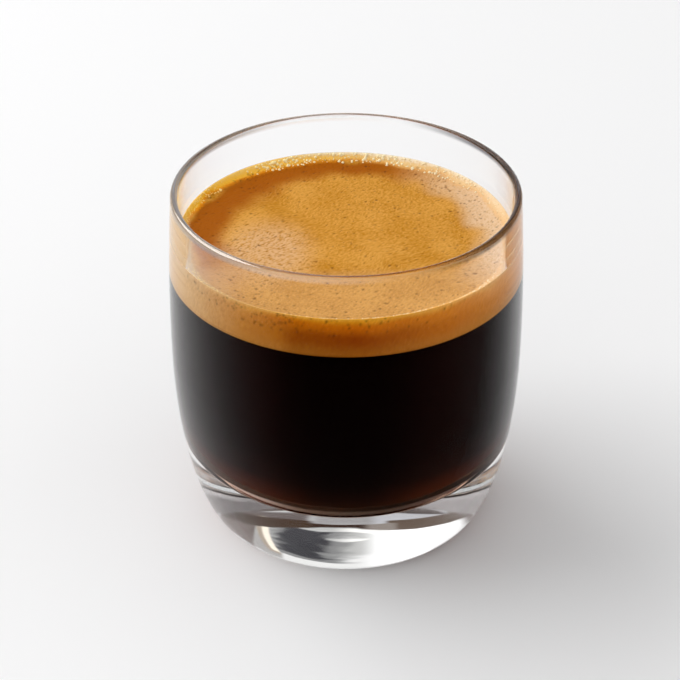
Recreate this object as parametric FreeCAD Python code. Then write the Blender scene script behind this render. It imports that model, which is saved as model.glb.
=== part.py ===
import FreeCAD, Part
import math
import os

# A lungo in a rounded, heavy-bottomed glass tumbler. Millimetres, +Z up.
# The origin is the centre of the base, on the surface that the glass stands on.
# Every piece is turned about the Z axis, so each is one half-outline in the XZ plane.

# ---- the tumbler, outside
GLASS_HEIGHT = 70.4          # top of the lip
RIM_RADIUS = 33.0            # outside of the wall just below the lip
BELLY_RADIUS = 34.4          # widest point of the body
BELLY_HEIGHT = 36.8          # height of that widest point
LOWER_CURVE_DEPTH = 9.3      # how far the lower body's ellipse draws in towards the base
LOWER_CURVE_OVERRUN = 0.9    # how far that ellipse would run on below the table
HEEL_RADIUS = 4.4            # round of the heel, between the body and the foot

# ---- the tumbler, underneath
FOOT_RING_WIDTH = 1.6        # flat ring that touches the table
PUNT_DEPTH = 0.9             # hollow in the middle of the underside

# ---- the tumbler, inside
RIM_WALL = 1.4               # wall at the fire-polished lip
BELLY_WALL = 2.5             # wall at the belly
FLOOR_HEIGHT = 12.0          # solid glass under the drink
INNER_SIDE_RADIUS = 80.0     # curve of the inner wall below the belly
INNER_CORNER_RADIUS = 18.0   # sweep from the inner wall into the floor

# ---- the drink
HEADSPACE = 10.2             # from the lip down to the flat of the foam
CREMA_THICKNESS = 6.3        # foam in the middle of the glass
MENISCUS_RISE = 1.8          # how far the foam climbs the glass
MENISCUS_RADIUS = 20.0       # hollow curve of that climb
DRINK_CLEARANCE = 0.2        # between the drink and the glass

CREMA_SURFACE = GLASS_HEIGHT - HEADSPACE
COFFEE_LEVEL = CREMA_SURFACE - CREMA_THICKNESS


def arc_radius(drop, span):
    """Radius of an arc that leaves a line at a tangent and drops by drop over span."""
    return (span ** 2 + drop ** 2) / (2 * drop)


def point(r, z):
    """A point of a half-outline."""
    return FreeCAD.Vector(r, 0, z)


def line(start, end):
    return Part.LineSegment(start, end).toShape()


def arc(centre, radius, start, end):
    """Arc from start to end, by way of the middle of its shorter side."""
    chord = (start + end) * 0.5 - centre
    middle = centre + chord * (radius / chord.Length)
    return Part.Arc(start, middle, end).toShape()


def bisect(function, low, high):
    """Where a function that changes sign once between low and high is zero."""
    sign = function(low) > 0
    for _ in range(60):
        middle = (low + high) / 2
        if (function(middle) > 0) == sign:
            low = middle
        else:
            high = middle
    return (low + high) / 2


# ---- outside of the tumbler, from the belly down to the foot

LOWER_CURVE_HEIGHT = BELLY_HEIGHT + LOWER_CURVE_OVERRUN
LOWER_CURVE_CENTRE = point(BELLY_RADIUS - LOWER_CURVE_DEPTH, BELLY_HEIGHT)


def lower_point(angle):
    """Point of the lower body's ellipse: 0 at the belly, 90 degrees straight below its centre."""
    return LOWER_CURVE_CENTRE + point(
        LOWER_CURVE_DEPTH * math.cos(angle), -LOWER_CURVE_HEIGHT * math.sin(angle))


def lower_normal(angle):
    """Outward unit normal of that ellipse."""
    normal = point(LOWER_CURVE_HEIGHT * math.cos(angle), -LOWER_CURVE_DEPTH * math.sin(angle))
    return normal.normalize()


def heel_centre(angle):
    """Centre of a heel that touches the ellipse from inside at this angle."""
    return lower_point(angle) - lower_normal(angle) * HEEL_RADIUS


HEEL_ANGLE = bisect(lambda angle: heel_centre(angle).z - HEEL_RADIUS, 0, math.pi / 2)
HEEL_CENTRE = heel_centre(HEEL_ANGLE)
FOOT_RADIUS = HEEL_CENTRE.x
PUNT_RADIUS = FOOT_RADIUS - FOOT_RING_WIDTH


def lower_body():
    """The ellipse from the belly down to where the heel takes over."""
    ellipse = Part.Ellipse(
        LOWER_CURVE_CENTRE + point(0, LOWER_CURVE_HEIGHT),
        LOWER_CURVE_CENTRE + point(LOWER_CURVE_DEPTH, 0),
        LOWER_CURVE_CENTRE)
    ends = sorted(ellipse.parameter(lower_point(angle)) for angle in (0, HEEL_ANGLE))
    return Part.ArcOfEllipse(ellipse, ends[0], ends[1]).toShape()


def underside():
    """Foot ring and punt, from the heel to the axis."""
    foot_outer = point(FOOT_RADIUS, 0)
    foot_inner = point(PUNT_RADIUS, 0)
    punt_top = point(0, PUNT_DEPTH)
    punt_centre = point(0, PUNT_DEPTH - arc_radius(PUNT_DEPTH, PUNT_RADIUS))
    return [
        arc(HEEL_CENTRE, HEEL_RADIUS, lower_point(HEEL_ANGLE), foot_outer),
        line(foot_outer, foot_inner),
        arc(punt_centre, (punt_top - punt_centre).Length, foot_inner, punt_top),
    ]


# ---- upper body and lip

LIP_RADIUS = RIM_WALL / 2
LIP_HEIGHT = GLASS_HEIGHT - LIP_RADIUS
UPPER_SPAN = LIP_HEIGHT - BELLY_HEIGHT
OUTER_UPPER_RADIUS = arc_radius(BELLY_RADIUS - RIM_RADIUS, UPPER_SPAN)
INNER_RIM = point(RIM_RADIUS - RIM_WALL, LIP_HEIGHT)
INNER_BELLY = point(BELLY_RADIUS - BELLY_WALL, BELLY_HEIGHT)


def upper_body():
    """Outside of the wall up to the lip, the half-round lip, and back down inside to the belly."""
    outer_belly = point(BELLY_RADIUS, BELLY_HEIGHT)
    outer_rim = point(RIM_RADIUS, LIP_HEIGHT)
    outer_centre = point(BELLY_RADIUS - OUTER_UPPER_RADIUS, BELLY_HEIGHT)
    lip_top = point(RIM_RADIUS - LIP_RADIUS, GLASS_HEIGHT)
    return [
        arc(outer_centre, OUTER_UPPER_RADIUS, outer_belly, outer_rim),
        Part.Arc(outer_rim, lip_top, INNER_RIM).toShape(),
        line(INNER_RIM, INNER_BELLY),
    ]


# ---- inside of the tumbler, which the drink follows at its clearance

INNER_RUN = (INNER_RIM - INNER_BELLY).normalize()
INNER_OUTWARD = point(INNER_RUN.z, -INNER_RUN.x)
INNER_SIDE_CENTRE = INNER_BELLY - INNER_OUTWARD * INNER_SIDE_RADIUS
CORNER_HEIGHT = FLOOR_HEIGHT + INNER_CORNER_RADIUS
CORNER_REACH = INNER_SIDE_RADIUS - INNER_CORNER_RADIUS
CORNER_DROP = INNER_SIDE_CENTRE.z - CORNER_HEIGHT
CORNER_CENTRE = point(
    INNER_SIDE_CENTRE.x + math.sqrt(CORNER_REACH ** 2 - CORNER_DROP ** 2), CORNER_HEIGHT)


def inner_wall(z, clearance=0):
    """Point of the straight inner wall above the belly, moved inwards by the clearance."""
    belly = INNER_BELLY - INNER_OUTWARD * clearance
    return belly + INNER_RUN * ((z - belly.z) / INNER_RUN.z)


def inner_bowl(clearance=0):
    """Inner wall below the belly, its corner and the floor, moved inwards by the clearance."""
    side_radius = INNER_SIDE_RADIUS - clearance
    corner_radius = INNER_CORNER_RADIUS - clearance
    outward = (CORNER_CENTRE - INNER_SIDE_CENTRE).normalize()
    belly = INNER_BELLY - INNER_OUTWARD * clearance
    join = INNER_SIDE_CENTRE + outward * side_radius
    floor_edge = point(CORNER_CENTRE.x, FLOOR_HEIGHT + clearance)
    return [
        arc(INNER_SIDE_CENTRE, side_radius, belly, join),
        arc(CORNER_CENTRE, corner_radius, join, floor_edge),
        line(floor_edge, point(0, FLOOR_HEIGHT + clearance)),
    ]


def turn(edges):
    """Solid of revolution about Z of a half-outline whose edges enclose an area."""
    wire = Part.Wire(Part.__sortEdges__(edges))
    solid = Part.Face(wire).revolve(point(0, 0), FreeCAD.Vector(0, 0, 1), 360)
    return solid.removeSplitter()


def make_glass():
    axis = line(point(0, PUNT_DEPTH), point(0, FLOOR_HEIGHT))
    return turn([lower_body()] + underside() + upper_body() + inner_bowl() + [axis])


def make_coffee():
    """The drink below the foam: the bowl of the tumbler, up to the coffee level."""
    belly = INNER_BELLY - INNER_OUTWARD * DRINK_CLEARANCE
    top_outer = inner_wall(COFFEE_LEVEL, DRINK_CLEARANCE)
    top_centre = point(0, COFFEE_LEVEL)
    floor_centre = point(0, FLOOR_HEIGHT + DRINK_CLEARANCE)
    return turn(inner_bowl(DRINK_CLEARANCE) + [
        line(floor_centre, top_centre),
        line(top_centre, top_outer),
        line(top_outer, belly),
    ])


def make_crema():
    """The foam: flat where it floats on the coffee, hollowed up to the glass at its rim."""
    base_outer = inner_wall(COFFEE_LEVEL, DRINK_CLEARANCE)
    contact = inner_wall(CREMA_SURFACE + MENISCUS_RISE, DRINK_CLEARANCE)
    meniscus_width = math.sqrt(MENISCUS_RADIUS ** 2 - (MENISCUS_RADIUS - MENISCUS_RISE) ** 2)
    meniscus_foot = point(contact.x - meniscus_width, CREMA_SURFACE)
    meniscus_centre = meniscus_foot + point(0, MENISCUS_RADIUS)
    base_centre = point(0, COFFEE_LEVEL)
    surface_centre = point(0, CREMA_SURFACE)
    return turn([
        line(base_centre, base_outer),
        line(base_outer, contact),
        arc(meniscus_centre, MENISCUS_RADIUS, contact, meniscus_foot),
        line(meniscus_foot, surface_centre),
        line(surface_centre, base_centre),
    ])


PIECES = {
    "glass": make_glass,
    "coffee": make_coffee,
    "crema": make_crema,
}

os.makedirs("parts", exist_ok=True)
for name, make in PIECES.items():
    shape = make()
    shape.exportStep("parts/" + name + ".step")
    box = shape.BoundBox
    print(name, "valid", shape.isValid(), "solids", len(shape.Solids),
          "volume %.1f ml" % (shape.Volume / 1000),
          "height %.2f to %.2f" % (box.ZMin, box.ZMax), "width %.2f" % box.XLength)
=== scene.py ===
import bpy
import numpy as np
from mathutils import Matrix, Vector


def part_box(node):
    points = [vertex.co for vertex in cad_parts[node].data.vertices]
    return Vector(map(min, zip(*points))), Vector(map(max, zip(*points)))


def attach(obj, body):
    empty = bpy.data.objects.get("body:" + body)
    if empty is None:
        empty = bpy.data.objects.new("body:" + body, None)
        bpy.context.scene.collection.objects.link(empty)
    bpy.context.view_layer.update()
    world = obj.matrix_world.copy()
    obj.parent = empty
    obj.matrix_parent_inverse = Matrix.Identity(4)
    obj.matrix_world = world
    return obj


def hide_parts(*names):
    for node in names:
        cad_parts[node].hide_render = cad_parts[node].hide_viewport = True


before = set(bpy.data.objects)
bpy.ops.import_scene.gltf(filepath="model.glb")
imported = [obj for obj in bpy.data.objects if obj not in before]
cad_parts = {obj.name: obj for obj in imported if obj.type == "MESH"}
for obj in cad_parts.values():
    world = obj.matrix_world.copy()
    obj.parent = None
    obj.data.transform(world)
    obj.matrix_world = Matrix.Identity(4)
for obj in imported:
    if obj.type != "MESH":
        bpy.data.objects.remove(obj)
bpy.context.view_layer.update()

# %% [markdown]
# # A lungo in a glass tumbler
# The drink and its glass arrive as a finished CAD model. This lesson dresses it: it keeps the tumbler
# as it is and gives it a clear finish, and it replaces the plain coffee and foam with pieces that
# carry the fine shapes of the real drink. All lengths are in metres, so MM turns millimetres into them.

MM = 0.001
low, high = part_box("glass")
glass_height = high.z
belly_radius = (high.x - low.x) / 2
print("glass", round(glass_height / MM, 1), "mm high,", round(2 * belly_radius / MM, 1), "mm wide")

# %% [markdown]
# ## The camera
# A drink is best shown from a little above, so that the foam shows both from the top and through the
# wall. A long lens keeps the ellipses calm. Three numbers place the camera: how far it stands from
# the drink, how high it looks from, and the height on the glass that it aims at. It could be placed
# by eye as well, but numbers taken from the glass follow it when it changes.

# %% Camera
camera_distance = 10.07 * belly_radius
camera_elevation = np.radians(32.89)
aim_height = 0.518 * glass_height
camera_data = bpy.data.cameras.new("camera")
camera_data.lens = 92.6
camera_data.sensor_width = 36.0
camera_data.shift_x = -0.0091
camera_data.clip_start = 0.01
camera = bpy.data.objects.new("camera", camera_data)
camera.location = (
    0,
    -camera_distance * np.cos(camera_elevation),
    aim_height + camera_distance * np.sin(camera_elevation))
camera.rotation_euler = (np.pi / 2 - camera_elevation, 0, 0)
bpy.context.scene.collection.objects.link(camera)
bpy.context.scene.camera = camera
bpy.context.scene.view_settings.view_transform = "Standard"
print("camera at", [round(value, 3) for value in camera.location])

# %% [markdown]
# ## Helpers for node materials
# Each finish below is a small graph of nodes. It could be clicked together by hand, but a few short
# helpers keep such graphs readable: they start a material, add a node and set its sockets, lay out a
# colour ramp, do one step of arithmetic, and let a number rise or fall along a measure.

# %% Material helpers
def new_material(name):
    """An empty node material. Returns the material, its tree and its output node."""
    material = bpy.data.materials.new(name)
    material.use_nodes = True
    tree = material.node_tree
    tree.nodes.clear()
    return material, tree, tree.nodes.new("ShaderNodeOutputMaterial")


def add(tree, kind, settings=None, **sockets):
    """A node of this kind. settings are its properties. Each socket takes a value or another socket.

    An underscore in a socket's name stands for a space, and _0 stands for the first input.
    """
    node = tree.nodes.new(kind)
    for key, value in (settings or {}).items():
        setattr(node, key, value)
    for key, value in sockets.items():
        socket = node.inputs[int(key[1:]) if key[1:].isdigit() else key.replace("_", " ")]
        if isinstance(value, bpy.types.NodeSocket):
            tree.links.new(value, socket)
        else:
            socket.default_value = value
    return node


def ramp(tree, factor, stops):
    """A colour ramp: stops are pairs of a position from 0 to 1 and a colour. Returns its colour."""
    node = add(tree, "ShaderNodeValToRGB", Fac=factor)
    elements = node.color_ramp.elements
    while len(elements) < len(stops):
        elements.new(0.5)
    for element, (position, colour) in zip(elements, stops):
        element.position = position
        element.color = (*colour, 1)
    return node.outputs["Color"]


def reckon(tree, operation, first, second=0.0):
    """One step of arithmetic on two numbers or sockets. Returns the result's socket."""
    return add(tree, "ShaderNodeMath", {"operation": operation}, _0=first, _1=second).outputs[0]


def slope(tree, value, start, end, first=0.0, last=1.0, smooth=True):
    """A number that is first where the value is start, last where it is end, and runs between them.

    Past both it stays as it is. It runs as an S-curve, or straight where smooth is False.
    """
    return add(
        tree, "ShaderNodeMapRange", {"interpolation_type": "SMOOTHSTEP" if smooth else "LINEAR"},
        Value=value, From_Min=start, From_Max=end, To_Min=first, To_Max=last).outputs["Result"]


def mixed(tree, factor, first, second):
    """Two colours mixed by a factor. Returns the result's socket."""
    node = add(tree, "ShaderNodeMix", {"data_type": "RGBA"}, _0=factor)
    for index, value in ((6, first), (7, second)):
        if isinstance(value, bpy.types.NodeSocket):
            tree.links.new(value, node.inputs[index])
        else:
            node.inputs[index].default_value = (*value, 1)
    return node.outputs[2]


# %% [markdown]
# ## Floor, light and surroundings
# The drink stands on a plain pale floor in soft daylight. A wide lamp behind and to the left plays the
# window. Many small lamps would do too, but one large one gives the long soft shadow and the broad
# sheen that daylight has. Clear glass is drawn by what it bends and mirrors, so the world around it
# matters as much: pale near the horizon, as a backdrop is, and dimmer overhead, as a ceiling is.

# %% Floor
floor_colour = (0.9, 0.9, 0.905, 1)
bpy.ops.mesh.primitive_plane_add(size=8, location=(0, 0, 0))
floor = bpy.context.object
floor.name = "floor"
floor_material, tree, output = new_material("pale_floor")
shader = add(tree, "ShaderNodeBsdfPrincipled", Base_Color=floor_colour, Roughness=0.6)
tree.links.new(shader.outputs["BSDF"], output.inputs["Surface"])
floor.data.materials.append(floor_material)
print("floor of", round(floor.dimensions.x, 1), "m")

# %% [markdown]
# The window is one rectangular lamp. It could be a sun lamp, but a sun draws hard shadows, and a
# window this wide leaves the soft ones that daylight does. Rays that come out of the glass don't meet
# it, so that the clear base stays calm.

# %% Lamps
def soft_lamp(name, azimuth, elevation, distance, width, height, power):
    """A rectangular lamp that faces the drink.

    azimuth is in degrees to the right of straight behind the drink, and elevation in degrees.
    """
    data = bpy.data.lights.new(name, "AREA")
    data.shape = "RECTANGLE"
    data.size = width
    data.size_y = height
    data.energy = power
    turn, rise = np.radians((azimuth, elevation))
    place = distance * Vector((np.sin(turn) * np.cos(rise), np.cos(turn) * np.cos(rise), np.sin(rise)))
    lamp = bpy.data.objects.new(name, data)
    lamp.location = place
    lamp.rotation_euler = (-place).to_track_quat("-Z", "Y").to_euler()
    lamp.visible_transmission = False
    bpy.context.scene.collection.objects.link(lamp)
    print(name, "at", [round(value, 2) for value in place])


soft_lamp("window", azimuth=-68, elevation=42, distance=2.0, width=2.1, height=1.3, power=28)

# %% [markdown]
# The base of the glass works as a mirror. Seen from the camera it shows one belt of the room behind,
# from 30 to 52 degrees up, squeezed flat. That belt gets what a room has there: a bright window, a
# dark doorway beside it, a narrow pale gap, dark walls further out, and a brown lintel over it all.
# Each is a soft-edged patch of the sky, so a table of patches describes the room. It could be
# modelled as real walls, but these few are all that shows. The rest stays pale, as a backdrop is.
#
# A direction is measured by its rise, which is the height it gains per metre of its way, and by how
# far it is turned to the right of straight behind. The smeared measure shakes the turn by a squeezed
# noise, for ragged edges, and the leaning one slides it with the rise, for edges that slant.

# %% Sky helpers
world = bpy.data.worlds.new("soft_room")
bpy.context.scene.world = world
world.use_nodes = True
tree = world.node_tree
background = tree.nodes["Background"]
direction = add(tree, "ShaderNodeTexCoord").outputs["Generated"]
parts = add(tree, "ShaderNodeSeparateXYZ", Vector=direction)
rise = parts.outputs["Z"]
azimuth = reckon(tree, "ARCTAN2", parts.outputs["X"], parts.outputs["Y"])
turned = reckon(tree, "MULTIPLY", azimuth, 180 / np.pi)
bow_at_45_degrees = 0.06
bow = reckon(tree, "MULTIPLY", reckon(tree, "MULTIPLY", turned, turned), bow_at_45_degrees / 45 ** 2)
bowed_rise = reckon(tree, "SUBTRACT", rise, bow)
smear_squeeze = {"X": reckon(tree, "MULTIPLY", turned, 0.10), "Y": reckon(tree, "MULTIPLY", rise, 130.0)}
squeezed = add(tree, "ShaderNodeCombineXYZ", **smear_squeeze).outputs["Vector"]
smears = add(tree, "ShaderNodeTexNoise", Vector=squeezed, Scale=1.0, Detail=3.0).outputs["Fac"]
smear_degrees = 14.0
smeared = reckon(tree, "ADD", turned, reckon(
    tree, "MULTIPLY", reckon(tree, "SUBTRACT", smears, 0.5), smear_degrees))
lean_degrees, lean_foot = 75.0, 0.64
leaning = reckon(tree, "ADD", turned, reckon(
    tree, "MULTIPLY", reckon(tree, "SUBTRACT", lean_foot, rise), lean_degrees))


def between(value, start, end, soft):
    """1 where the value lies between start and end, falling to 0 over the soft distance outside."""
    from_middle = reckon(tree, "ABSOLUTE", reckon(tree, "SUBTRACT", value, (start + end) / 2))
    half = (end - start) / 2
    return slope(tree, from_middle, half + soft, half)


# %% [markdown]
# The plain sky is a grey that darkens overhead. The patches are laid over it one after the other, the
# broad ones first. Each share is the product of how far a direction lies within the patch sideways
# and how far it lies within it upwards.

# %% Sky
grey_of_rise = [(0, 0.66), (0.45, 0.66), (0.7, 0.55), (1, 0.36)]
sky = ramp(tree, rise, [(height, (grey,) * 3) for height, grey in grey_of_rise])
# Each patch: a colour, the measure of its turn, where it starts and ends on that in degrees and how
# soft those edges are, and its low and high edge as a rise and how soft they are. The high edges bow
# upwards towards both sides.
patches = [
    ((0.42, 0.42, 0.44), turned, (-48, -6, 4), (0.655, 0.730, 0.02)),
    ((0.28, 0.27, 0.27), turned, (-6, 8, 5), (0.655, 0.700, 0.02)),
    ((0.06, 0.045, 0.04), turned, (-40, -8, 4), (0.708, 0.780, 0.006)),
    ((0.05, 0.030, 0.022), turned, (16, 46, 4), (0.742, 0.790, 0.006)),
    ((0.11, 0.090, 0.085), turned, (14, 58, 5), (0.650, 0.690, 0.02)),
    ((0.12, 0.092, 0.083), turned, (32, 58, 2), (0.50, 0.668, 0.02)),
    ((0.13, 0.10, 0.09), turned, (-60, -46, 2), (0.56, 0.668, 0.02)),
    ((0.68, 0.68, 0.67), turned, (-8, 21, 2), (0.500, 0.641, 0.003)),
    ((0.32, 0.31, 0.30), turned, (21, 31, 2), (0.500, 0.641, 0.003)),
    ((0.42, 0.42, 0.41), turned, (-4, 25, 8), (0.622, 0.641, 0.010)),
    ((1.0, 1.0, 1.0), turned, (-43, -15, 13), (0.500, 0.642, 0.003)),
    ((0.20, 0.20, 0.20), smeared, (4, 21, 8), (0.575, 0.6362, 0.002)),
    ((0.040, 0.040, 0.045), smeared, (9, 19, 5), (0.592, 0.6362, 0.0015)),
    ((0.85, 0.84, 0.82), turned, (-8, -4, 9), (0.637, 0.6435, 0.001)),
    ((0.34, 0.28, 0.22), leaning, (27.0, 30.8, 1.0), (0.560, 0.650, 0.01)),
    ((0.85, 0.78, 0.66), leaning, (26.6, 28.0, 1.6), (0.575, 0.650, 0.01)),
    ((0.10, 0.070, 0.052), turned, (-52, -14, 3), (0.6450, 0.6545, 0.0015)),
    ((0.22, 0.19, 0.17), turned, (-14, -4, 3), (0.6450, 0.6470, 0.0015)),
    ((0.030, 0.014, 0.008), turned, (-4, 60, 4), (0.6450, 0.6475, 0.0015)),
    ((0.045, 0.025, 0.014), turned, (13, 60, 5), (0.6450, 0.6540, 0.0020)),
]
for colour, turn_measure, (start, end, soft), (low_rise, high_rise, soft_rise) in patches:
    share = reckon(tree, "MULTIPLY", between(turn_measure, start, end, soft), reckon(
        tree, "MULTIPLY", between(rise, low_rise, 1.0, soft_rise),
        between(bowed_rise, -1.0, high_rise, soft_rise)))
    sky = mixed(tree, share, sky, colour)
tree.links.new(sky, background.inputs["Color"])
sky_strength = 1.31
background.inputs["Strength"].default_value = sky_strength
print(len(patches), "patches of sky")

# %% [markdown]
# Light runs down inside a glass wall by many reflections. The usual limits would save time, but with
# them the wall and the rim turn dark grey, so all three are higher here. Which of them matters most
# wasn't tried.

# %% Light paths
light_paths = bpy.context.scene.cycles
light_paths.glossy_bounces = 12
light_paths.transmission_bounces = 16
light_paths.max_bounces = 20
print("up to", light_paths.transmission_bounces, "turns of light inside glass")

# %% [markdown]
# ## Clear glass
# The tumbler is pressed and fire-polished, so it is smooth and clear and bends what lies behind it.
# Its bent and mirrored views could be mixed by hand, but a Principled shader with full transmission
# does both. Its black specular tint leaves the mirror for flat glances. Pressed glass is never quite
# even, so a faint wave runs through it, most of it in the heavy base. At both ends the lip gathers
# the dark of the room, so its glass is tinted dark there as painted shade.

# %% Glass body
glass_ior = 1.5
wave_depth = 0.03 * MM
lip_end_painted_shade = (0.27, 0.27, 0.29)
glass_material, tree, output = new_material("clear_glass")
place = add(tree, "ShaderNodeTexCoord").outputs["Object"]
parts = add(tree, "ShaderNodeSeparateXYZ", Vector=place)
across, height = parts.outputs["X"], parts.outputs["Z"]
# Painted shade: the lip's glass is tinted dark at both ends, where the lip gathers the dark of the room.
on_lip = slope(tree, height, glass_height - 1.5 * MM, glass_height - 0.9 * MM, smooth=False)
at_ends = slope(tree, reckon(tree, "ABSOLUTE", across), 10 * MM, 28 * MM)
glass_colour_with_lip_shade = mixed(tree, reckon(tree, "MULTIPLY", on_lip, at_ends), (1, 1, 1), lip_end_painted_shade)
waves = add(tree, "ShaderNodeTexNoise", Vector=place, Scale=70.0, Detail=1.0).outputs["Fac"]
wave_height = reckon(tree, "MULTIPLY", waves, slope(tree, height, 16 * MM, 6 * MM, 0.3, 1.0))
bump = add(tree, "ShaderNodeBump", Height=wave_height, Strength=1.0, Distance=wave_depth)
shader = add(
    tree, "ShaderNodeBsdfPrincipled", Base_Color=glass_colour_with_lip_shade, Roughness=0.0, IOR=glass_ior,
    Specular_Tint=(0, 0, 0, 1), Transmission_Weight=1.0, Normal=bump.outputs["Normal"])

# %% [markdown]
# A pale room lays a milky sheen over a dark drink. On a set, a polarising filter takes it off. Darker
# surroundings would do it too, but then the foam would lack their light. So where light enters the
# glass, a shader that only bends it is mixed in: mostly where the wall is seen straight on, hardly at
# a flat glance, and less and less towards the window on the left.

# %% Glass filter
entering = reckon(tree, "SUBTRACT", 1.0, add(tree, "ShaderNodeNewGeometry").outputs["Backfacing"])
facing = add(tree, "ShaderNodeLayerWeight", Blend=0.5).outputs["Facing"]
straight_on = slope(tree, facing, 0.45, 0.72, 0.75, 0.05, smooth=False)
off_window = slope(tree, across, -31 * MM, -8 * MM)
filtering = reckon(tree, "MULTIPLY", entering, reckon(tree, "MULTIPLY", straight_on, off_window))
bending = add(
    tree, "ShaderNodeBsdfRefraction", Color=glass_colour_with_lip_shade, Roughness=0.0, IOR=glass_ior,
    Normal=bump.outputs["Normal"])
filtered = add(
    tree, "ShaderNodeMixShader", _0=filtering, _1=shader.outputs["BSDF"], _2=bending.outputs["BSDF"])

# %% [markdown]
# Towards the window the lip carries a bright line. A second lamp could draw it, but it would light the
# foam as well, so a little soft gloss is mixed in on the lip alone.
#
# For shadow rays alone, the glass lets the light pass straight on, so that the lamp reaches the drink.

# %% Glass lip and shadow
window_side = slope(tree, across, 12 * MM, -8 * MM, 0.01, 0.17)
lip_share = reckon(tree, "MULTIPLY", entering, reckon(tree, "MULTIPLY", on_lip, window_side))
lip_gloss = add(tree, "ShaderNodeBsdfGlossy", Color=(1, 1, 1, 1), Roughness=0.12)
with_lip = add(
    tree, "ShaderNodeMixShader", _0=lip_share, _1=filtered.outputs["Shader"],
    _2=lip_gloss.outputs["BSDF"])
passing = add(tree, "ShaderNodeBsdfTransparent", Color=(0.94, 0.95, 0.945, 1))
shadow_ray = add(tree, "ShaderNodeLightPath").outputs["Is Shadow Ray"]
mix = add(
    tree, "ShaderNodeMixShader", _0=shadow_ray, _1=with_lip.outputs["Shader"],
    _2=passing.outputs["BSDF"])
tree.links.new(mix.outputs["Shader"], output.inputs["Surface"])
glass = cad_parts["glass"]
glass.data.materials.clear()
glass.data.materials.append(glass_material)
print("clear_glass of", len(tree.nodes), "nodes")

# %% [markdown]
# ## Turned surfaces
# Coffee and foam fill the glass, so their sides are the inside of the glass. A lathe tool could turn
# them, but as a profile carried round the axis they are a grid of rings by turns, worked out as one
# array, and the helpers below serve every piece.

# %% Mesh helpers
def ring_faces(rings, turns):
    """Four-sided faces between neighbouring rings of a grid of rings by turns, closed all round."""
    ring, turn = np.meshgrid(np.arange(rings - 1), np.arange(turns), indexing="ij")
    after = (turn + 1) % turns
    corners = (ring * turns + turn, ring * turns + after,
               (ring + 1) * turns + after, (ring + 1) * turns + turn)
    return np.stack(corners, -1).reshape(-1, 4)


def fan_faces(ring, pole):
    """Triangles from each edge of a closed ring of point numbers to one pole."""
    return np.stack((ring, np.roll(ring, -1), np.full(ring.shape, pole)), -1)


def new_piece(name, points, faces, smooth=True):
    """An object at the origin from points and a list of arrays of faces."""
    mesh = bpy.data.meshes.new(name)
    mesh.from_pydata(points, [], [face for group in faces for face in group.tolist()])
    mesh.polygons.foreach_set("use_smooth", np.full(len(mesh.polygons), smooth))
    mesh.update()
    piece = bpy.data.objects.new(name, mesh)
    bpy.context.scene.collection.objects.link(piece)
    print(name, len(points), "points,", len(mesh.polygons), "faces")
    return piece


def place_in_glass(piece, node, material):
    """Give a piece that stands for one CAD node its material, attach it to the root and hide that node."""
    piece.data.materials.append(material)
    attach(piece, "root")
    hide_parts(node)


# %% [markdown]
# ## The inside of the glass
# The inner wall is a straight taper above the belly, a long arc below it, and a rounder arc that
# sweeps into the flat floor. It could be read off the glass's mesh, but the same few sizes as in the
# CAD model give it as a formula. The drink reaches a hair into the glass, because it wets it: a gap
# of air there would show as a silver film.

# %% Inner wall as a formula
into_wall = 0.08 * MM
lip_radius = 0.7 * MM
rim_inner = np.array([31.6 * MM, glass_height - lip_radius])
belly_inner = np.array([31.9 * MM, 36.8 * MM])
side_radius = 80 * MM
corner_radius = 18 * MM
floor_height = 12 * MM
coffee_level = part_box("coffee")[1].z

run = (rim_inner - belly_inner) / np.hypot(*(rim_inner - belly_inner))
outward = np.array([run[1], -run[0]])
side_centre = belly_inner - outward * side_radius
corner_height = floor_height + corner_radius
reach = side_radius - corner_radius
corner_centre = np.array([
    side_centre[0] + np.sqrt(reach ** 2 - (side_centre[1] - corner_height) ** 2), corner_height])
join_angle = np.arctan2(*(corner_centre - side_centre)[::-1])
belly_angle = np.arctan2(*outward[::-1])


def arc_points(centre, radius, start, end, count):
    """Points r, z along an arc round centre from one angle to another."""
    angle = np.linspace(start, end, count)
    return centre + radius * np.stack((np.cos(angle), np.sin(angle)), -1)


def wall_radius(z, offset):
    """Radius of the straight upper wall at height z, moved outwards by offset."""
    return belly_inner[0] + (z - belly_inner[1]) * run[0] / run[1] + offset / outward[0]


print("inner radius at the coffee's surface", round(wall_radius(coffee_level, 0) / MM, 2), "mm")

# %% [markdown]
# ## Coffee
# The coffee is one turned body from the floor of the glass to just inside the foam. It could share
# the foam's rough surface, but the two meet at a clean line. Its rings are closer together where the
# corner bends, because a bent mirror shows every facet.

# %% Coffee shape
turns = 192
corner = arc_points(corner_centre, corner_radius + into_wall, -np.pi / 2, join_angle, 48)
side = arc_points(side_centre, side_radius + into_wall, join_angle, belly_angle, 16)[1:]
upper_z = np.linspace(belly_inner[1], coffee_level, 12)[1:]
upper = np.stack((wall_radius(upper_z, into_wall), upper_z), -1)
floor_r = np.linspace(0, corner[0, 0], 8)[1:-1]
bottom = np.stack((floor_r, np.full(floor_r.shape, corner[0, 1])), -1)
overlap = 0.3 * MM  # how far coffee and foam reach into each other, so that no gap opens
lid_r = np.array([0.98, 0.5]) * upper[-1, 0]
lid = np.stack((lid_r, np.full(2, coffee_level + overlap)), -1)
profile = np.concatenate((bottom, corner, side, upper, lid))


def turned_points(profile, turns):
    """Points of a profile of radii and heights carried round the axis, ring after ring."""
    angle = np.linspace(0, 2 * np.pi, turns, endpoint=False)
    x = np.outer(profile[:, 0], np.cos(angle))
    y = np.outer(profile[:, 0], np.sin(angle))
    z = np.repeat(profile[:, 1:], turns, 1)
    return np.stack((x, y, z), -1).reshape(-1, 3)


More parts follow.
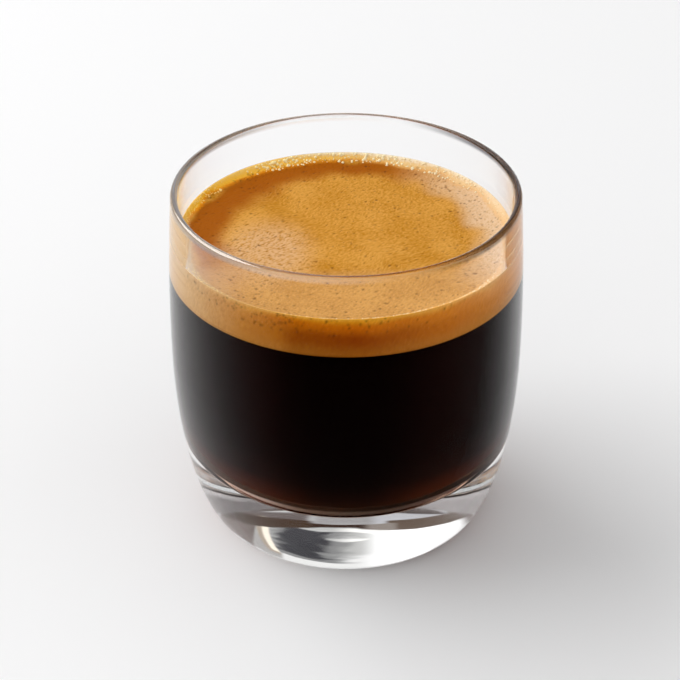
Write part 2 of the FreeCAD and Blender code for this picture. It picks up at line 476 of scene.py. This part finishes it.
points = turned_points(profile, turns)
poles = [(0, 0, profile[0, 1]), (0, 0, profile[-1, 1])]
first_ring = np.arange(turns)
last_ring = (len(profile) - 1) * turns + first_ring
coffee = new_piece("coffee_body", np.concatenate((points, poles)), [
    ring_faces(len(profile), turns),
    fan_faces(first_ring[::-1], len(points)),
    fan_faces(last_ring, len(points) + 1)])

# %% [markdown]
# ## The coffee's finish
# Black coffee lets no light through at this depth, so it is a dark, glossy solid. Only where it
# thins out over the rounded bottom does light come through it a warm brown, and that glow is painted
# into its colour, most of it at both sides. Real coffee could be a volume that absorbs light, but two
# clear bodies inside each other are slow and often go wrong.

# %% Coffee body
coffee_material, tree, output = new_material("coffee")
parts = add(tree, "ShaderNodeSeparateXYZ", Vector=add(tree, "ShaderNodeTexCoord").outputs["Object"])
to_right, to_back, height = (parts.outputs[axis] for axis in "XYZ")
from_middle = reckon(tree, "ABSOLUTE", to_right)
depth = slope(tree, height, 12 * MM, 30 * MM, smooth=False)
# Painted glow: a warm brown low down, where light would come through the thin coffee, strongest at both
# sides.
painted_glow_colour = ramp(tree, depth, [
    (0.0, (0.32, 0.062, 0.014)), (0.25, (0.20, 0.032, 0.005)), (0.45, (0.07, 0.010, 0.002)),
    (0.7, (0.014, 0.0018, 0.0006)), (1.0, (0.006, 0.0007, 0.0004))])
sideways = slope(tree, from_middle, 3 * MM, 22 * MM, 0.12, 1.0)
body_colour = mixed(tree, sideways, (0, 0, 0), painted_glow_colour)

# %% [markdown]
# From the front, the thick base bends the view up to the rounded bottom of the drink at the back. In
# this model that part would look black, while on the real drink the base is pale there. The cause
# isn't known: it may be light that wanders through the base, or another shape of it. A new shape of
# the base could be tried, but a pale tone low down at the back, with a rosy spot on the flat bottom
# at the right, is a simpler stand-in. The price is a thin pale rim when the drink is seen from behind.

# %% Coffee underside
# A pale tone low down at the back and a rosy spot on the flat bottom at the right are painted into the
# coffee's colour; the drink itself is black.
backlit = reckon(
    tree, "MULTIPLY", slope(tree, to_back, 19 * MM, 23 * MM), slope(tree, height, 19.5 * MM, 17.5 * MM))
right_half = slope(tree, to_right, -1 * MM, 1 * MM, smooth=False)
low_colour = mixed(tree, right_half, (0.72, 0.68, 0.68), (0.34, 0.31, 0.31))
higher = slope(tree, height, 15.6 * MM, 16.2 * MM, smooth=False)
backlit_colour = mixed(tree, higher, low_colour, (0.86, 0.82, 0.82))
body_colour = mixed(tree, backlit, body_colour, backlit_colour)
flat_part = slope(tree, height, 12.9 * MM, 12.5 * MM, smooth=False)
far_right = reckon(
    tree, "MULTIPLY", slope(tree, to_right, 11 * MM, 13 * MM, smooth=False),
    slope(tree, to_back, 3 * MM, 6 * MM, smooth=False))
painted_rosy_colour = (0.95, 0.78, 0.68)
body_colour = mixed(tree, reckon(tree, "MULTIPLY", flat_part, far_right), body_colour, painted_rosy_colour)

# %% [markdown]
# The step from glass to coffee mirrors too: hardly anything from the front, and all of it at a flat
# enough glance. One glossy Principled shader would mirror as a step from air does, which is far too
# much, so the mirror is a shader of its own, mixed in by the Fresnel share of that step.

# %% Coffee mirror
coffee_ior = 1.33
# The mirror's colour is painted: dim and brown low down, as painted shade under the glass, nearly white
# higher up, and a warm pale at the low sides as a painted reflection.
painted_gloss_colour = ramp(tree, depth, [
    (0.24, (0.36, 0.23, 0.16)), (0.29, (0.06, 0.022, 0.009)), (0.55, (0.11, 0.045, 0.02)),
    (0.75, (0.45, 0.27, 0.17)), (1.0, (0.90, 0.78, 0.70))])
low_edge = reckon(
    tree, "MULTIPLY", slope(tree, from_middle, 6 * MM, 20 * MM),
    slope(tree, height, 17.4 * MM, 16.8 * MM, smooth=False))
painted_gloss_colour = mixed(tree, low_edge, painted_gloss_colour, (0.85, 0.68, 0.58))
shader = add(
    tree, "ShaderNodeBsdfPrincipled", Base_Color=body_colour, Roughness=0.3, IOR=coffee_ior,
    Specular_IOR_Level=0.0)
gloss = add(tree, "ShaderNodeBsdfGlossy", Color=painted_gloss_colour, Roughness=0.0)
glance = add(tree, "ShaderNodeFresnel", IOR=coffee_ior / glass_ior).outputs["Fac"]
mirrored = slope(tree, glance, 0.02, 1.0, smooth=False)
mix = add(
    tree, "ShaderNodeMixShader", _0=mirrored, _1=shader.outputs["BSDF"], _2=gloss.outputs["BSDF"])
tree.links.new(mix.outputs["Shader"], output.inputs["Surface"])
place_in_glass(coffee, "coffee", coffee_material)
print("coffee of", len(tree.nodes), "nodes")

# %% [markdown]
# ## Crema
# Crema is a thick foam of very fine bubbles. It floats level, climbs the glass in a hollow curve, and
# carries burst bubbles as dark pinholes. The relief could be only a bump in the material, but then
# the mesh would be bare. Here it is real: a square grid is drawn over the disc, so that its
# points lie evenly everywhere, and each point gets its height from a small map of the foam.

# %% Foam map
rng = np.random.default_rng(7)
map_size = 72 * MM
map_cells = 1024
cell = map_size / map_cells


def wave_noise(longest, shortest, stretch=1.0, lean=0.0):
    """Smooth random waves between two wavelengths, as a map with a spread of 1.

    White noise is turned into waves, and only those of the wanted length are kept. A stretch above
    1 draws the waves out along the direction that leans from the x axis by lean.
    """
    frequency = np.fft.fftfreq(map_cells, cell)
    fx, fy = np.meshgrid(frequency, frequency)
    along = (fx * np.cos(lean) + fy * np.sin(lean)) * stretch
    across = -fx * np.sin(lean) + fy * np.cos(lean)
    size = np.hypot(along, across)
    keep = np.exp(-(size * shortest) ** 2) * (1 - np.exp(-(size * longest) ** 2))
    waves = np.fft.fft2(rng.standard_normal((map_cells, map_cells))) * keep
    noise = np.real(np.fft.ifft2(waves))
    return noise / noise.std()


def sample(grid, x, y):
    """The map's value at each x, y, by blending its four nearest cells."""
    u = (x + map_size / 2) / cell
    v = (y + map_size / 2) / cell
    column = np.clip(u.astype(int), 0, map_cells - 2)
    row = np.clip(v.astype(int), 0, map_cells - 2)
    u, v = u - column, v - row
    return ((1 - v) * ((1 - u) * grid[row, column] + u * grid[row, column + 1])
            + v * ((1 - u) * grid[row + 1, column] + u * grid[row + 1, column + 1]))


swell = wave_noise(22 * MM, 9 * MM)
grain = wave_noise(1.2 * MM, 0.35 * MM)
streaks = wave_noise(1.8 * MM, 0.32 * MM, stretch=3.0, lean=np.radians(58))
print("foam map of", map_cells, "cells,", round(cell / MM, 3), "mm each")

# %% [markdown]
# Pinholes are scattered at random, most of them very small. Each is a round dip stamped into a map.
# They gather on the slope of the foam towards the glass, where bubbles rise and burst last. Each
# could be cut out of the foam, but a dip in the relief is as deep as a pinhole needs.

# %% Pinholes
crema_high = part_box("crema")[1]
contact_height = crema_high.z
contact_radius = wall_radius(contact_height, into_wall)


def stamp(grid, x, y, radius, depth):
    """Press round dips into a map: each falls off from its depth in the middle to 0 past its radius."""
    span = int(0.8 * MM / cell)
    offset = np.arange(-span, span + 1) * cell
    columns, rows = (((place + map_size / 2) / cell).astype(int) for place in (x, y))
    for column, row, wide, deep in zip(columns, rows, radius, depth):
        dip = deep * np.exp(-((offset[None] ** 2 + offset[:, None] ** 2) / wide ** 2) ** 1.5)
        window = grid[row - span:row + span + 1, column - span:column + span + 1]
        np.maximum(window, dip, out=window)


pore_count = 900
even = np.sqrt(rng.random(pore_count))
outer_share, from_wall = 0.45, 1.2 * MM
pore_distance = (contact_radius - from_wall) * np.where(
    rng.random(pore_count) < outer_share, even ** 0.3, even)
pore_turn = rng.random(pore_count) * 2 * np.pi
pore_radius = (0.12 + 0.15 * rng.random(pore_count) ** 3) * MM
pore_depth = 0.35 + 0.65 * rng.random(pore_count)
pores = np.zeros((map_cells, map_cells))
stamp(pores, pore_distance * np.cos(pore_turn), pore_distance * np.sin(pore_turn), pore_radius, pore_depth)
print(pore_count, "pinholes")

# %% [markdown]
# The surface is level in the middle, rises gently over the last centimetre and curls up at the glass,
# where it clings a little higher at the back. A smooth disc could be sculpted, but a formula of the
# distance to the glass keeps the curl even all round, and the map lays its small relief on top.

# %% Crema surface
def disc_grid(count):
    """Points x, y of a square grid of count by count drawn over a disc of radius 1.

    Each square ring of the grid becomes a round ring: its size gives the radius, and the place
    along its side gives the angle.
    """
    steps = np.linspace(-1, 1, count)
    a, b = np.meshgrid(steps, steps)
    wide = np.abs(a) > np.abs(b)
    radius = np.where(wide, a, b)
    safe = np.where(radius == 0, 1, radius)
    angle = np.where(wide, np.pi / 4 * b / safe, np.pi / 2 - np.pi / 4 * a / safe)
    return radius * np.cos(angle), radius * np.sin(angle)


def foam_height(radius):
    """Height of the foam's smooth surface: level in the middle, rising twice towards the glass.

    A shallow dish rises over the last centimetre, and a steep lip over the last millimetre. The lip
    ends in a round shoulder, which drops by the square of how far a point lies within its width.
    """
    inside = contact_radius - radius
    drop = shoulder_drop * np.clip(1 - inside / shoulder_width, 0, 1) ** 2
    return contact_height - dish_rise - lip_rise - drop + (
        dish_rise * np.exp(-inside / dish_width) + lip_rise * np.exp(-inside / lip_width))


def ease(value, start, end):
    """0 up to start, 1 from end on, and an S-curve between: share squared times 3 minus 2 shares."""
    share = np.clip((value - start) / (end - start), 0, 1)
    return share * share * (3 - 2 * share)


def back_climb(inside, to_right, to_back):
    """How much higher the foam's lip clings at the back and, some more, at the back left.

    to_right and to_back are the direction's two parts. The climb dies out away from the glass.
    """
    at_left_back = ease(0.6 * to_back - 0.8 * to_right, 0.6, 0.95)
    climb = back_rise * ease(to_back, 0.0, 0.8) + left_rise * at_left_back
    return climb * MM * np.exp(-inside / lip_width)


dish_rise, dish_width = 1.1 * MM, 4.0 * MM
lip_rise, lip_width = 1.05 * MM, 0.9 * MM
shoulder_drop, shoulder_width = 0.35 * MM, 0.5 * MM
back_rise, left_rise = 0.28, 0.20  # in millimetres
grid_count = 275
disc_x, disc_y = disc_grid(grid_count)
rim_crowding = 0.35  # draws the points closer together towards the glass
closer = 1 + rim_crowding - rim_crowding * np.hypot(disc_x, disc_y).ravel()
x = disc_x.ravel() * closer * contact_radius
y = disc_y.ravel() * closer * contact_radius
radius = np.hypot(x, y)
inside = (contact_radius - radius) / MM
pore = sample(pores, x, y)
swell_here, grain_here, streak_here = (sample(grid, x, y) for grid in (swell, grain, streaks))
relief = 0.025 * swell_here + 0.016 * grain_here + 0.016 * streak_here - 0.16 * pore
z = foam_height(radius) + relief * MM * np.clip(inside / 1.5, 0, 1)
z += back_climb(contact_radius - radius, x / np.maximum(radius, cell), y / np.maximum(radius, cell))
top = np.stack((x, y, z), -1)
print("foam from", round(z.min() / MM, 2), "to", round(z.max() / MM, 2), "mm high")

# %% [markdown]
# ## The crema's colours
# The foam is tan where it lies level. On the slope at the left and back, which the window doesn't
# reach, light sinks in and comes back a deep orange, painted in as shade. Where the window glances
# off it, on the right and in a patch at the left, a painted sheen makes it pale; towards the front
# and the front left it is painted a paler tan. The last two millimetres are a bright froth. All this
# could be mixed in a material, but it follows the shape, so each point of the mesh is given its colour.

# %% Colour of the top
def blend(first, second, share):
    """Each point's colour between the first and the second, by its share of the second."""
    share = np.asarray(share)[..., None]
    return first * (1 - share) + second * share


def spread(value, stops):
    """Each value's colour, by straight blending between stops of a position and a colour."""
    places = [place for place, _ in stops]
    colours = np.array([colour for _, colour in stops])
    return np.stack([np.interp(value, places, channel) for channel in colours.T], -1)


def towards(degrees):
    """How far each point lies towards this direction, from -1 to 1. 0 is right and 90 is the back."""
    turn = np.radians(degrees)
    return (x * np.cos(turn) + y * np.sin(turn)) / np.maximum(radius, cell)


uneven = inside + 0.7 * swell_here
# Painted shade: a deep orange on the slope at the left and back, reaching further at the left.
shade_reach = 8.5 + 3.5 * ease(towards(180), 0, 0.8)
shade = ease(towards(135), -0.15, 0.6) * ease(uneven, 0.8, 2.4)
shade = shade * (1 - ease(uneven / shade_reach, 0.45, 1))
# Painted sheen: a pale patch at the left and the pale right slope, where the window glances off the foam.
patch_distance = np.hypot((x / MM + 15) / 10, (y / MM + 6) / 14)
left_sheen_patch = 1 - ease(patch_distance + 0.08 * streak_here, 0.3, 1.2)
right_slope_sheen = ease(towards(12), 0.5, 0.95) * (1 - ease(uneven, 4.0, 9.0))
front_pale = 0.22 * ease(-y / MM, 11, 15) + 0.18 * ease(-x / MM, 17, 23) * ease(-y / MM, 2, 7)
fleck_noise = -grain_here - (0.6 + 0.5 * left_sheen_patch) * streak_here
fleck = np.clip(pore + 0.45 * ease(fleck_noise, 1.9, 3.1), 0, 1)
mottle = np.clip(0.5 + 0.18 * swell_here + 0.26 * grain_here + 0.26 * streak_here, 0, 1)

dark_tan = np.array([0.52, 0.210, 0.010])
light_tan = np.array([0.71, 0.340, 0.060])
shaded_orange = np.array([0.37, 0.095, 0.002])
front_tan = np.array([0.76, 0.48, 0.26])
fleck_brown = np.array([0.15, 0.045, 0.006])
top_colour = blend(blend(dark_tan, light_tan, mottle), shaded_orange, shade)
painted_sheen_colour = spread(x / MM, [
    (-15, (0.74, 0.43, 0.20)), (18, (0.74, 0.46, 0.24)), (28, (0.80, 0.55, 0.34))])
painted_sheen_share = np.maximum(
    left_sheen_patch * (0.78 + 0.42 * streak_here + 0.16 * grain_here),
    right_slope_sheen * (0.92 + 0.16 * grain_here + 0.10 * streak_here)).clip(0, 1)
top_colour = blend(blend(top_colour, painted_sheen_colour, painted_sheen_share), front_tan, front_pale)
print("mean colour without the froth", np.round(top_colour.mean(0), 3))

# %% [markdown]
# The froth at the rim runs from a creamy edge through gold to amber. At the front it is gold alone.
# It could be one colour all round, but then the rim would look like a drawn line, so each of its
# colours changes from the shade on the left to the light on the right.

# %% Colour of the froth
at_back = ease(towards(90), -0.2, 0.4)
froth_reach = 0.9 + at_back * (0.8 - 0.35 * ease(towards(180), 0.3, 0.9) + 0.25 * swell_here)
froth_place = (inside + 0.12 * grain_here) / froth_reach
cream_colour = spread(x / MM, [
    (-26, (0.98, 0.62, 0.14)), (-11, (0.98, 0.66, 0.22)), (-6, (0.97, 0.80, 0.50)),
    (10, (0.96, 0.82, 0.60)), (28, (0.92, 0.74, 0.52))])
gold_colour = spread(x / MM, [
    (-28, (0.98, 0.52, 0.035)), (-5, (0.96, 0.56, 0.10)), (10, (0.84, 0.55, 0.22)),
    (28, (0.82, 0.56, 0.30))])
amber_colour = spread(x / MM, [
    (-28, (0.84, 0.27, 0.004)), (-2, (0.68, 0.23, 0.008)), (10, (0.74, 0.35, 0.08)),
    (28, (0.80, 0.48, 0.22))])
front_colour = spread(x / MM, [
    (-29, (0.70, 0.46, 0.23)), (-18, (0.74, 0.41, 0.13)), (-6, (0.86, 0.42, 0.05)),
    (6, (0.88, 0.42, 0.04)), (18, (0.84, 0.44, 0.11)), (29, (0.80, 0.48, 0.22))])
froth_colour = blend(cream_colour, gold_colour, np.maximum(
    ease(froth_place, 0.08, 0.55), 1 - ease(towards(90), 0.1, 0.7)))
froth_colour = blend(froth_colour, amber_colour, ease(froth_place, 0.6, 1.05))
froth_colour = blend(front_colour, froth_colour, ease(towards(90), -0.1, 0.3))
top_colour = blend(top_colour, froth_colour, 1 - ease(froth_place, 0.85, 1.4))
top_colour = blend(top_colour, fleck_brown, fleck)
print("mean colour of the top", np.round(top_colour.mean(0), 3))

# %% [markdown]
# Against the glass the foam is wet. Just under its rim an orange glow is painted in; at mid-height it
# is deep brown-orange, and above the coffee it turns tan. Towards both sides, where daylight and the
# glass's glancing sheen fall on it, it is painted paler, most at the left, where the daylight comes
# from; the front middle, in shade, is painted darker. A few bubbles press flat on the glass and look
# dark. The side hangs straight down from the grid's edge, point by point, so that no seam can open
# between top and side.

# %% Side of the crema, against the glass
number = np.arange(grid_count ** 2).reshape(grid_count, grid_count)
rim = np.concatenate((number[0, :-1], number[:-1, -1], number[-1, :0:-1], number[:0:-1, 0]))
quads = np.stack((number[:-1, :-1], number[:-1, 1:], number[1:, 1:], number[1:, :-1]), -1)
rim_points = top[rim]
side_rings = 21
share = 1 - np.linspace(0, 1, side_rings + 1)[1:, None] ** 1.5
height = coffee_level + share * (rim_points[:, 2] - coffee_level)
grow = wall_radius(height, into_wall) / contact_radius
wall = np.stack((rim_points[:, 0] * grow, rim_points[:, 1] * grow, height), -1)
tuck = wall[-1:] * (0.98, 0.98, 1) - (0, 0, overlap)
wall = np.concatenate((wall, tuck))
print("side of", side_rings, "rings of", len(rim), "points")

# %% [markdown]
# Four tones follow each other up the side, and each changes from left to right. They could be one
# ramp of height in a material, but the side is uneven and the froth above it has to run into it.

# %% Colour of the side
side_pore_count = 140
side_pores = np.zeros((map_cells, map_cells))
stamp(side_pores, (-10 + 12 * rng.standard_normal(side_pore_count)).clip(-34, 34) * MM,
      (4.2 + 3.4 * rng.random(side_pore_count)) * MM,
      (0.13 + 0.16 * rng.random(side_pore_count) ** 2) * MM,
      0.3 + 0.5 * rng.random(side_pore_count))
side_x = wall[..., 0] / MM
above_coffee = wall[..., 2] - coffee_level
up = (above_coffee / (contact_height - coffee_level)).clip(0, 1)
unrolled = np.arctan2(wall[..., 0], -wall[..., 1]) * contact_radius
on_map = unrolled.clip(-35 * MM, 35 * MM)
# Painted light: each tone is paler towards both sides and darker in the shade at the front middle; the
# glow tone is a painted glow under the rim.
low_tone = spread(side_x, [
    (-29, (0.64, 0.37, 0.13)), (-18, (0.53, 0.22, 0.035)), (-12, (0.50, 0.19, 0.025)),
    (-9, (0.38, 0.128, 0.010)), (2, (0.39, 0.116, 0.006)), (18, (0.60, 0.215, 0.03)),
    (29, (0.65, 0.29, 0.05))])
middle_tone = spread(side_x, [
    (-29, (0.69, 0.43, 0.18)), (-18, (0.57, 0.23, 0.035)), (-12, (0.50, 0.16, 0.01)),
    (-9, (0.33, 0.075, 0.001)), (2, (0.31, 0.055, 0.0005)), (18, (0.60, 0.180, 0.014)),
    (29, (0.71, 0.29, 0.05))])
upper_tone = spread(side_x, [
    (-29, (0.66, 0.43, 0.20)), (-18, (0.62, 0.26, 0.05)), (-9, (0.60, 0.16, 0.002)),
    (2, (0.66, 0.16, 0.001)), (18, (0.70, 0.235, 0.022)), (29, (0.80, 0.38, 0.12))])
glow_tone = spread(side_x, [
    (-29, (0.70, 0.46, 0.24)), (-18, (0.74, 0.36, 0.08)), (-9, (0.80, 0.33, 0.012)),
    (2, (0.86, 0.36, 0.012)), (18, (0.82, 0.385, 0.06)), (29, (0.84, 0.48, 0.19))])
uneven_up = up + 0.03 * sample(swell, on_map, above_coffee)
side_colour = blend(low_tone, middle_tone, ease(uneven_up, 0.03, 0.40))
side_colour = blend(side_colour, upper_tone, ease(uneven_up, 0.45, 0.80))
side_colour = blend(side_colour, glow_tone, ease(uneven_up, 0.76, 0.95))
side_colour = blend(side_colour, froth_colour[rim], ease(up, 0.88, 0.96))
side_grain = sample(streaks, on_map, above_coffee).clip(-2, 2)
side_colour = side_colour * (1 + 0.07 * side_grain[..., None] * (0.6, 1, 1.4))
pore_brown = np.array([0.10, 0.028, 0.003])
side_colour = blend(side_colour, pore_brown, sample(side_pores, unrolled, above_coffee))
print(side_pore_count, "dark bubbles on the side")

# %% [markdown]
# Top and side become one closed piece: the grid, a ring of faces round its edge, the side, and a fan
# below. They could stay apart, but a closed piece has no stray edges. The colours go with the points,
# so the material only has to read them.

# %% Crema piece
wall_count = len(rim)
ring = np.arange(wall_count)
joint = np.stack((rim, len(top) + ring, len(top) + (ring + 1) % wall_count, np.roll(rim, -1)), -1)
wall_faces = ring_faces(side_rings + 1, wall_count) + len(top)
base_ring = len(top) + side_rings * wall_count + ring
points = np.concatenate((top, wall.reshape(-1, 3), [(0, 0, coffee_level - overlap)]))
crema = new_piece("crema_foam", points, [
    quads.reshape(-1, 4), joint, wall_faces[:, ::-1], fan_faces(base_ring[::-1], len(points) - 1)])
colours = np.concatenate((top_colour, side_colour.reshape(-1, 3), side_colour[-1, :1])).clip(0, 1)
attribute = crema.data.attributes.new("foam_colour", "FLOAT_COLOR", "POINT")
attribute.data.foreach_set("color", np.column_stack((colours, np.ones(len(colours)))).ravel())

# %% [markdown]
# Foam scatters light, so it is nearly matt. It could be wholly matt, but where it is wet and lies
# against the glass it mirrors at a flat glance, like the coffee. That counts at the back, where the
# base shows it from below, so the mirror is kept to the back of the side.

# %% Crema material
crema_material, tree, output = new_material("crema")
tone = add(tree, "ShaderNodeAttribute", {"attribute_name": "foam_colour"}).outputs["Color"]
shader = add(
    tree, "ShaderNodeBsdfPrincipled", Base_Color=tone, Roughness=0.5, IOR=1.4, Specular_IOR_Level=0.05)
place = add(tree, "ShaderNodeTexCoord").outputs["Object"]
to_back = add(tree, "ShaderNodeSeparateXYZ", Vector=place).outputs["Y"]
flat_place = add(
    tree, "ShaderNodeVectorMath", {"operation": "MULTIPLY"}, _0=place, _1=(1, 1, 0)).outputs[0]
from_axis = add(tree, "ShaderNodeVectorMath", {"operation": "LENGTH"}, _0=flat_place).outputs["Value"]
on_side = slope(tree, from_axis, contact_radius - 0.1 * MM, contact_radius - 0.02 * MM, smooth=False)
on_back = slope(tree, to_back, 8 * MM, 15 * MM, smooth=False)
glance = add(tree, "ShaderNodeFresnel", IOR=coffee_ior / glass_ior).outputs["Fac"]
mirrored = reckon(tree, "MULTIPLY", glance, reckon(tree, "MULTIPLY", on_side, on_back))
gloss = add(tree, "ShaderNodeBsdfGlossy", Color=(0.95, 0.93, 0.92, 1), Roughness=0.0)
mix = add(
    tree, "ShaderNodeMixShader", _0=mirrored, _1=shader.outputs["BSDF"], _2=gloss.outputs["BSDF"])
tree.links.new(mix.outputs["Shader"], output.inputs["Surface"])
place_in_glass(crema, "crema", crema_material)

# %% [markdown]
# ## Froth along the glass
# Where the foam meets the glass, larger bubbles gather in clumps, most of them at the back. Each is a
# small dome. They could be scattered by a particle system, but one mesh of all domes is plain geometry.

# %% Crema bubbles
tries = 3600
try_turn = rng.random(tries) * 2 * np.pi
clumps = sample(swell, 20 * MM * np.cos(try_turn), 20 * MM * np.sin(try_turn))
wanted = 0.12 + 0.24 * ease(np.sin(try_turn), 0.1, 0.9) + 0.20 * clumps
bubble_turn = try_turn[rng.random(tries) < wanted]
bubble_count = len(bubble_turn)
at_back = ease(np.sin(bubble_turn), 0.2, 0.95)
smallest, size_range = 0.08, 0.10 + 0.24 * at_back  # in millimetres
rarity = 2.6  # a higher power makes large bubbles rarer
bubble_size = (smallest + size_range * rng.random(bubble_count) ** rarity) * MM
froth_width = 1.0 + 0.9 * at_back
row = rng.random(bubble_count) ** 1.5 * froth_width * MM
bubble_distance = contact_radius - bubble_size * 0.9 - row
bubble_x, bubble_y = np.cos(bubble_turn), np.sin(bubble_turn)
bubble_height = foam_height(bubble_distance) + back_climb(
    contact_radius - bubble_distance, bubble_x, bubble_y) - 0.4 * bubble_size
centres = np.stack((bubble_distance * bubble_x, bubble_distance * bubble_y, bubble_height), -1)

dome_sides = 8
dome_turn = np.linspace(0, 2 * np.pi, dome_sides + 1)[:-1]
dome_rise = np.radians([-20, 15, 50])
dome_rings = len(dome_rise)
dome = np.stack((
    np.outer(np.cos(dome_rise), np.cos(dome_turn)), np.outer(np.cos(dome_rise), np.sin(dome_turn)),
    np.repeat(np.sin(dome_rise)[:, None], dome_sides, 1)), -1).reshape(-1, 3)
dome = np.concatenate((dome, [(0, 0, 1), (0, 0, -0.4)]))
top_pole, bottom_pole = dome_rings * dome_sides, dome_rings * dome_sides + 1
points = (centres[:, None] + bubble_size[:, None, None] * dome).reshape(-1, 3)
shift = (np.arange(bubble_count) * len(dome))[:, None, None]
first = np.arange(dome_sides)
bubbles = new_piece("crema_bubbles", points, [
    (ring_faces(dome_rings, dome_sides) + shift).reshape(-1, 4),
    (fan_faces(top_pole - dome_sides + first, top_pole) + shift).reshape(-1, 3),
    (fan_faces(first[::-1], bottom_pole) + shift).reshape(-1, 3)])
print(bubble_count, "bubbles")

# %% [markdown]
# A bubble's skin scatters the light of the foam below it, so it is paler than the foam: golden on the
# left, where the light sinks in, and creamy elsewhere. Real clear films could be built, but at a
# tenth of a millimetre they only cost time.

# %% Bubble material
bubble_material, tree, output = new_material("crema_bubble")
parts = add(tree, "ShaderNodeSeparateXYZ", Vector=add(tree, "ShaderNodeTexCoord").outputs["Object"])
bubble_colour = ramp(tree, slope(tree, parts.outputs["X"], -30 * MM, 30 * MM, smooth=False), [
    (0.0, (0.99, 0.68, 0.18)), (0.3, (0.99, 0.84, 0.46)), (0.5, (0.98, 0.86, 0.54)),
    (1.0, (0.95, 0.77, 0.50))])
shader = add(
    tree, "ShaderNodeBsdfPrincipled", Base_Color=bubble_colour, Roughness=0.3, IOR=1.4,
    Specular_IOR_Level=0.15)
tree.links.new(shader.outputs["BSDF"], output.inputs["Surface"])
bubbles.data.materials.append(bubble_material)
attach(bubbles, "root")
print("bubbles from", round(2 * bubble_size.min() / MM, 2), "to",
      round(2 * bubble_size.max() / MM, 2), "mm across")
